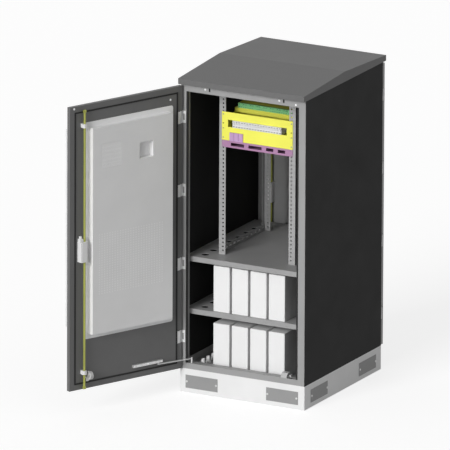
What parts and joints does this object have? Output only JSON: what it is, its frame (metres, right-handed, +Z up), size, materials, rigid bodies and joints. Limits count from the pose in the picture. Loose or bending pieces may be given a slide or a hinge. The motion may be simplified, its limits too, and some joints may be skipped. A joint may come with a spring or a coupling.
{
  "type": "roadside utility cabinet",
  "caption": "Free-standing outdoor equipment cabinet with a hinged front door that carries a climate unit, battery shelves, a rack with a breaker panel, a gable roof and a plinth.",
  "frame": {"origin": "centre of the plinth's footprint, on the ground", "axes": "+Z up, front of the cabinet faces -Y, +X to the right seen from the front"},
  "size_m": [1.3353, 1.8365, 2.006],
  "materials": {
    "frame_grey": "textured powder coat",
    "side_charcoal": "textured powder coat",
    "roof_grey": "powder coat",
    "plinth_white": "powder coat",
    "cover_grey": "powder coat",
    "door_grey": "textured powder coat",
    "shelf_grey": "powder coat",
    "unit_grey": "powder coat",
    "zinc": "zinc plated",
    "seal_black": "matt",
    "battery_white": "matt",
    "gland_white": "satin",
    "panel_yellow": "satin",
    "rod_olive": "passivated zinc",
    "terminal_green": "satin",
    "tray_purple": "satin",
    "module_purple": "satin",
    "breaker_white": "satin",
    "rack_steel": "zinc plated",
    "wheel_white": "satin",
    "handle_black": "satin",
    "core_aluminium": "matt"
  },
  "bodies": {
    "cabinet": {"battery_1": "battery_white", "battery_2": "battery_white", "battery_3": "battery_white", "battery_4": "battery_white", "battery_5": "battery_white", "battery_6": "battery_white", "battery_7": "battery_white", "battery_8": "battery_white", "breaker_panel": "panel_yellow", "breakers": "breaker_white", "cable_glands": "gland_white", "din_rail": "zinc", "edge_seals": "seal_black", "floor_plate": "shelf_grey", "frame": "frame_grey", "front_hinge_frame_leaves": "plinth_white", "lift_ramp": "wheel_white", "module_tray": "tray_purple", "plinth": "plinth_white", "plinth_covers": "cover_grey", "plinth_screws": "zinc", "power_chassis": "panel_yellow", "rack_brace_left": "rack_steel", "rack_brace_right": "rack_steel", "rack_rail_front_left": "rack_steel", "rack_rail_front_right": "rack_steel", "rack_rail_rear_left": "rack_steel", "rack_rail_rear_right": "rack_steel", "rear_hinge_frame_leaves": "plinth_white", "relay_blocks": "breaker_white", "roof": "roof_grey", "shelf_lower": "shelf_grey", "shelf_rails": "plinth_white", "shelf_upper": "shelf_grey", "side_panel_left": "side_charcoal", "side_panel_right": "side_charcoal", "surge_protector": "module_purple", "terminal_strip": "terminal_green"},
    "front_door": {"front_door_shell": "door_grey", "front_door_gasket": "seal_black", "front_hinge_door_leaves": "plinth_white", "climate_unit_inner": "unit_grey", "climate_unit_outer": "plinth_white", "climate_core": "core_aluminium", "front_lock_case": "plinth_white", "front_rod_guides": "unit_grey", "stay_rail": "zinc", "roller_bracket": "zinc"},
    "front_handle": {"front_handle": "handle_black"},
    "front_rod_upper": {"front_rod_upper": "rod_olive"},
    "front_rod_lower": {"front_rod_lower": "rod_olive"},
    "stay_arm": {"stay_arm": "zinc"},
    "lift_roller": {"lift_roller": "wheel_white"},
    "rear_door": {"rear_door_shell": "door_grey", "rear_door_gasket": "seal_black", "rear_hinge_door_leaves": "plinth_white", "rear_lock_case": "plinth_white"},
    "rear_handle": {"rear_handle": "handle_black"},
    "rear_rod_upper": {"rear_rod_upper": "rod_olive"},
    "rear_rod_lower": {"rear_rod_lower": "rod_olive"}
  },
  "joints": [
    {"name": "front_door_hinge", "type": "hinge", "parent": "cabinet", "child": "front_door", "pos_m": [-0.419, -0.515, 1.0415], "axis": [0, 0, 1], "range_deg": [0, 115]},
    {"name": "front_handle_turn", "type": "hinge", "parent": "front_door", "child": "front_handle", "pos_m": [-0.75632, -1.20289, 1.022], "axis": [-0.9063, 0.4226, 0], "range_deg": [0, 90]},
    {"name": "front_rod_upper_slide", "type": "slide", "parent": "front_door", "child": "front_rod_upper", "axis": [0, 0, -1], "range_m": [0, 0.03]},
    {"name": "front_rod_lower_slide", "type": "slide", "parent": "front_door", "child": "front_rod_lower", "axis": [0, 0, 1], "range_m": [0, 0.03]},
    {"name": "stay_arm_turn", "type": "hinge", "parent": "cabinet", "child": "stay_arm", "pos_m": [-0.355, -0.485, 0.2], "axis": [0, 0, 1], "range_deg": [0, 118.74]},
    {"name": "lift_roller_spin", "type": "hinge", "parent": "front_door", "child": "lift_roller", "pos_m": [-0.6819, -1.17581, 0.24], "axis": [-0.4226, -0.9063, 0], "continuous": true},
    {"name": "rear_door_hinge", "type": "hinge", "parent": "cabinet", "child": "rear_door", "pos_m": [0.419, 0.515, 1.0415], "axis": [0, 0, 1], "range_deg": [-115, 0]},
    {"name": "rear_handle_turn", "type": "hinge", "parent": "rear_door", "child": "rear_handle", "pos_m": [-0.347, 0.53, 1.022], "axis": [0, 1, 0], "range_deg": [-90, 0]},
    {"name": "rear_rod_upper_slide", "type": "slide", "parent": "rear_door", "child": "rear_rod_upper", "axis": [0, 0, -1], "range_m": [-0.03, 0]},
    {"name": "rear_rod_lower_slide", "type": "slide", "parent": "rear_door", "child": "rear_rod_lower", "axis": [0, 0, 1], "range_m": [-0.03, 0]}
  ],
  "couplings": [
    {"joint": "front_rod_upper_slide", "follows": "front_handle_turn", "m_per_rad": 0.019099},
    {"joint": "front_rod_lower_slide", "follows": "front_handle_turn", "m_per_rad": 0.019099},
    {"joint": "rear_rod_upper_slide", "follows": "rear_handle_turn", "m_per_rad": 0.019099},
    {"joint": "rear_rod_lower_slide", "follows": "rear_handle_turn", "m_per_rad": 0.019099},
    {"joint": "stay_arm_turn", "follows": "front_door_hinge", "ratio": 1.0325}
  ]
}
